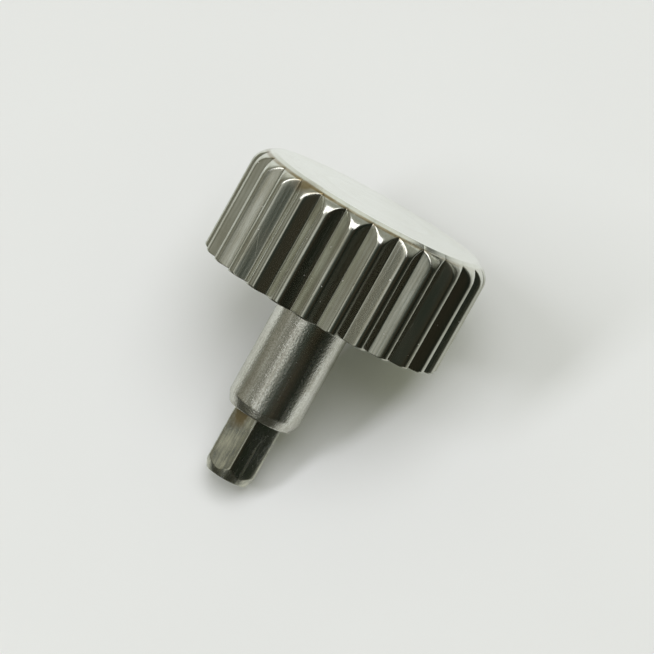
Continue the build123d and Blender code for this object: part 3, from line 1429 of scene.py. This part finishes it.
@dataclass(frozen=True)
class StudioLight:
    """The lamps and a plain pale room, which is darker to the lower right.

    Two soft lamps above the crown are what the metal shows, and two softer fills light the table.
    The ring of reflections is the room as the metal sees it, by the angle round the crown's axis.
    Beyond ring_span along the axis the metal sees beyond instead, or above where it looks up.
    """

    lamps = (
        SoftLamp("left_lamp", -40.0, 29.0, (120.0, 300.0), 0.38, True, LAMP_COLOUR),
        SoftLamp("upper_lamp", -3.0, 34.0, (230.0, 200.0), 0.40, True, LAMP_COLOUR),
        SoftLamp("left_fill", -40.0, 0.0, (61.0, 188.0), 0.385, False, FILL_COLOUR),
        SoftLamp("upper_fill", -10.0, 35.0, (262.0, 255.0), 0.69, False, FILL_COLOUR),
    )
    room: Colour = (0.34, 0.35, 0.27)
    beyond: Colour = (1.02, 1.04, 0.99)
    above: Colour = (0.40, 0.41, 0.37)
    backdrop: Colour = (0.76, 0.77, 0.75)
    ring_span: Span = (0.35, 0.8)
    above_span: Span = (-0.34, -0.10)

    ring = (
        (-180.0, (0.50, 0.50, 0.46)),
        (-112.0, (0.34, 0.34, 0.30)),
        (-96.0, (0.24, 0.24, 0.20)),
        (-78.0, (0.21, 0.20, 0.16)),
        (-66.0, (0.36, 0.36, 0.32)),
        (-60.0, (0.36, 0.36, 0.32)),
        (-50.0, (0.14, 0.14, 0.11)),
        (-38.0, (0.17, 0.17, 0.14)),
        (-32.0, (0.62, 0.62, 0.58)),
        (-23.0, (0.62, 0.62, 0.59)),
        (-15.0, (0.50, 0.51, 0.48)),
        (-7.0, (0.09, 0.10, 0.085)),
        (12.0, (0.015, 0.022, 0.016)),
        (26.0, (0.044, 0.037, 0.023)),
        (38.0, (0.022, 0.018, 0.011)),
        (54.0, (0.008, 0.012, 0.008)),
        (85.0, (0.02, 0.025, 0.02)),
        (112.0, (0.05, 0.05, 0.04)),
        (135.0, (0.30, 0.30, 0.27)),
        (180.0, (0.50, 0.50, 0.46)),
    )

    def surroundings(self, view: Viewpoint) -> None:
        """Makes the world: plain for diffuse light, a backdrop for the camera, the ring for metal.

        Args:
            view: The viewing direction that the ring goes by.
        """
        world = bpy.data.worlds.new("pale_room")
        world.use_nodes = True
        bpy.context.scene.world = world
        sheet = Sheet(world.node_tree)
        way = sheet.node("ShaderNodeTexCoord").outputs["Generated"]
        ahead, beside = (sheet.vector("DOT_PRODUCT", way, axis) for axis in view.ring_axes())
        share = sheet.remap(sheet.math("ARCTAN2", beside, ahead), (-math.pi, math.pi), 0.0, 1.0)
        ring = sheet.ramp(share, [(turn / 360.0 + 0.5, colour) for turn, colour in self.ring])
        over = sheet.remap(ahead, self.above_span, 0.0, 1.0)
        past = sheet.remap(sheet.along(way), self.ring_span, 0.0, 1.0)
        ring = sheet.blend(past, ring, sheet.blend(over, self.beyond, self.above))
        rays = sheet.node("ShaderNodeLightPath").outputs
        seen = sheet.blend(rays["Is Glossy Ray"], self.room, ring)
        seen = sheet.blend(rays["Is Camera Ray"], seen, self.backdrop)
        light = sheet.node("ShaderNodeBackground", {"Color": seen, "Strength": 1.0})
        sheet.node("ShaderNodeOutputWorld", {"Surface": light.outputs[0]})


def main() -> None:
    """Loads the frame, builds each sub-assembly and sets up the table, light and camera."""
    logging.basicConfig(level=logging.INFO, format="%(name)s: %(message)s")
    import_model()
    bpy.context.scene.view_settings.view_transform = "Standard"
    view = Viewpoint()
    view.camera()
    Table().build(view.ring_axes()[1])
    light = StudioLight()
    for lamp in light.lamps:
        lamp.build(view)
    light.surroundings(view)
    marks = MarkGroups.build()
    satin = SATIN_STEEL.build(marks)
    CrownHead().build(POLISHED_STEEL.build(marks))
    CrownPipe().build(satin)
    DrivePost().build(MILLED_STEEL.build(marks))
    ReturnSpring().build(SPRING_STEEL.build(marks))
    Sealing().build(BLACK_RUBBER.build(marks), satin)


if __name__ == "__main__":
    main()
